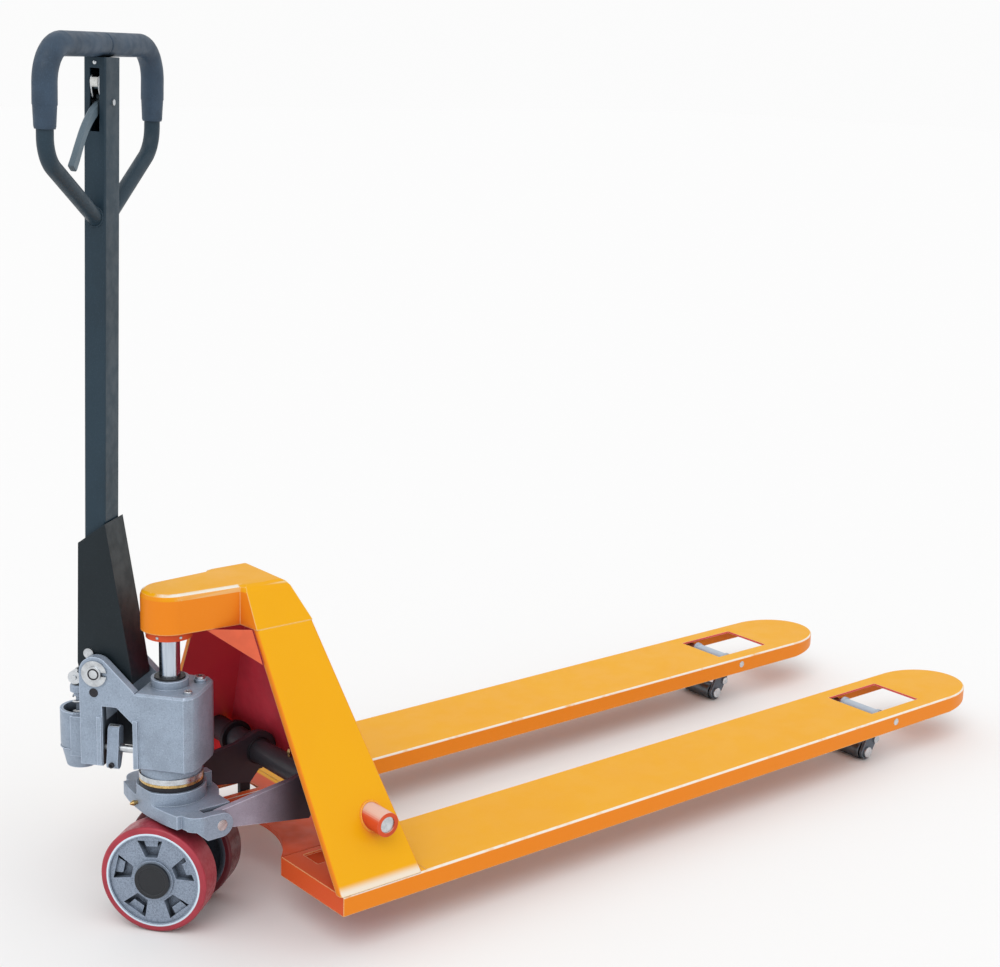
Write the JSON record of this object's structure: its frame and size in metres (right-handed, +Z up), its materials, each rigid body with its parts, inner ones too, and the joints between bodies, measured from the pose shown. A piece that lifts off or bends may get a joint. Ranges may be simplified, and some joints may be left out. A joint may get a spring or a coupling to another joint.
{
  "type": "hand pallet truck",
  "caption": "Low-profile hand pallet truck: two long forks on load rollers, a hydraulic pump that steers on two wheels, and a tilting loop handle with a finger lever.",
  "frame": {"origin": "on the floor under the middle of the overall length and width", "axes": "+X along the forks from heel to tips, +Y to the left, +Z up"},
  "size_m": [1.793, 0.541, 1.25],
  "materials": {
    "orange": "gloss",
    "chrome_rod": "polished",
    "zinc": "satin",
    "cast_grey": "satin",
    "dark_steel": "satin",
    "roller_steel": "satin",
    "brass": "satin",
    "seal": "matt",
    "hub_alu": "cast",
    "red_tyre": "satin",
    "black_plastic": "matt",
    "handle_paint": "satin",
    "grip_rubber": "matt"
  },
  "bodies": {
    "base": {"thrust_plate": "cast_grey", "plate_nipple": "brass", "lower_race": "zinc", "bearing_seal": "seal", "eye_pins": "zinc"},
    "steer": {"ball_cage": "brass", "upper_race": "zinc", "pump_body": "cast_grey", "piston_seal": "seal", "filler_plug": "dark_steel", "steer_stem": "cast_grey", "wheel_axle": "zinc", "wheel_bearings": "zinc", "handle_pivot_pin": "zinc", "retaining_rings": "zinc", "release_pin": "zinc", "pump_spring": "zinc"},
    "wheel_left": {"wheel_hub_left": "hub_alu", "tyre_left": "red_tyre", "hub_cap_left": "black_plastic"},
    "wheel_right": {"wheel_hub_right": "hub_alu", "tyre_right": "red_tyre", "hub_cap_right": "black_plastic"},
    "handle": {"handle_base": "handle_paint", "handle_shaft": "handle_paint", "handle_loop": "handle_paint", "grip_sleeve": "grip_rubber", "base_pins": "zinc", "lever_pin": "zinc"},
    "press_roller": {"press_rollers": "zinc"},
    "finger_lever": {"finger_lever": "handle_paint"},
    "control_rod": {"control_rod": "zinc"},
    "plunger": {"plunger": "cast_grey"},
    "release_lever": {"release_lever": "cast_grey", "release_screw": "dark_steel"},
    "frame": {"fork_left": "orange", "fork_right": "orange", "heel_plate": "orange", "side_plate_left": "orange", "side_plate_right": "orange", "nose_box": "orange", "back_panel": "orange", "nose_gussets": "orange", "head_ring": "orange", "piston_rod": "chrome_rod", "pivot_bosses": "orange", "pivot_pins": "zinc", "carrier_shafts": "zinc"},
    "rocker": {"torsion_tube": "dark_steel", "tube_nipple": "brass", "rocker_arms": "cast_grey", "bell_cranks": "dark_steel"},
    "push_rod_left": {"push_rod_left": "dark_steel"},
    "push_rod_right": {"push_rod_right": "dark_steel"},
    "carrier_left": {"carrier_left": "roller_steel", "roller_bolts_left": "zinc"},
    "carrier_right": {"carrier_right": "roller_steel", "roller_bolts_right": "zinc"},
    "roller_left": {"load_roller_left": "roller_steel"},
    "roller_right": {"load_roller_right": "roller_steel"}
  },
  "joints": [
    {"name": "lift", "type": "slide", "parent": "base", "child": "frame", "axis": [0, 0, 1], "range_m": [-0.056, 0]},
    {"name": "rocker_turn", "type": "hinge", "parent": "frame", "child": "rocker", "pos_m": [-0.50151, 0, 0.178], "axis": [0, -1, 0], "range_deg": [-19, 1]},
    {"name": "steering", "type": "hinge", "parent": "base", "child": "steer", "pos_m": [-0.69751, 0, 0.212], "axis": [0, 0, 1], "range_deg": [-33, 137]},
    {"name": "wheel_left_spin", "type": "hinge", "parent": "steer", "child": "wheel_left", "pos_m": [-0.6585, 0.03047, 0.08], "axis": [0.788, 0.6157, 0], "continuous": true},
    {"name": "wheel_right_spin", "type": "hinge", "parent": "steer", "child": "wheel_right", "pos_m": [-0.73652, -0.03047, 0.08], "axis": [0.788, 0.6157, 0], "continuous": true},
    {"name": "handle_tilt", "type": "hinge", "parent": "steer", "child": "handle", "pos_m": [-0.75415, 0.0725, 0.374], "axis": [-0.788, -0.6157, 0], "range_deg": [0, 60], "stiffness_Nm_per_rad": 42, "springref_deg": -5.73},
    {"name": "press_roller_spin", "type": "hinge", "parent": "handle", "child": "press_roller", "pos_m": [-0.78409, 0.11081, 0.35023], "axis": [0.788, 0.6157, 0], "continuous": true},
    {"name": "plunger_stroke", "type": "slide", "parent": "steer", "child": "plunger", "axis": [0, 0, -1], "range_m": [0, 0.0405], "deforming": ["pump_spring"]},
    {"name": "finger_lever_swing", "type": "hinge", "parent": "handle", "child": "finger_lever", "pos_m": [-0.74921, 0.06617, 1.16005], "axis": [0.6155, -0.7878, -0.0255], "range_deg": [-12, 12], "stiffness_Nm_per_rad": 2},
    {"name": "control_rod_slide", "type": "slide", "parent": "handle", "child": "control_rod", "axis": [0.0157, -0.0201, 0.9997], "range_m": [-0.0025, 0.0025]},
    {"name": "release_lever_swing", "type": "hinge", "parent": "steer", "child": "release_lever", "pos_m": [-0.76963, 0.03058, 0.261], "axis": [0.6157, -0.788, 0], "range_deg": [-12, 12]},
    {"name": "push_rod_left_slide", "type": "slide", "parent": "frame", "child": "push_rod_left", "axis": [1, 0, 0], "range_m": [-0.014, 0.0002]},
    {"name": "carrier_left_turn", "type": "hinge", "parent": "frame", "child": "carrier_left", "pos_m": [0.63349, 0.19, 0.08], "axis": [0, -1, 0], "range_deg": [-60, 1]},
    {"name": "roller_left_spin", "type": "hinge", "parent": "carrier_left", "child": "roller_left", "pos_m": [0.60513, 0.19, 0.016], "axis": [0, 1, 0], "continuous": true},
    {"name": "push_rod_right_slide", "type": "slide", "parent": "frame", "child": "push_rod_right", "axis": [1, 0, 0], "range_m": [-0.014, 0.0002]},
    {"name": "carrier_right_turn", "type": "hinge", "parent": "frame", "child": "carrier_right", "pos_m": [0.63349, -0.19, 0.08], "axis": [0, -1, 0], "range_deg": [-60, 1]},
    {"name": "roller_right_spin", "type": "hinge", "parent": "carrier_right", "child": "roller_right", "pos_m": [0.60513, -0.19, 0.016], "axis": [0, 1, 0], "continuous": true}
  ],
  "couplings": [
    {"joint": "rocker_turn", "follows": "lift", "rad_per_m": 5.6897},
    {"joint": "plunger_stroke", "follows": "handle_tilt", "m_per_rad": 0.038},
    {"joint": "control_rod_slide", "follows": "finger_lever_swing", "m_per_rad": 0.011},
    {"joint": "release_lever_swing", "follows": "finger_lever_swing", "ratio": 1},
    {"joint": "push_rod_left_slide", "follows": "lift", "ratio": 0.24362},
    {"joint": "carrier_left_turn", "follows": "lift", "rad_per_m": 18.557},
    {"joint": "push_rod_right_slide", "follows": "lift", "ratio": 0.24362},
    {"joint": "carrier_right_turn", "follows": "lift", "rad_per_m": 18.557}
  ]
}
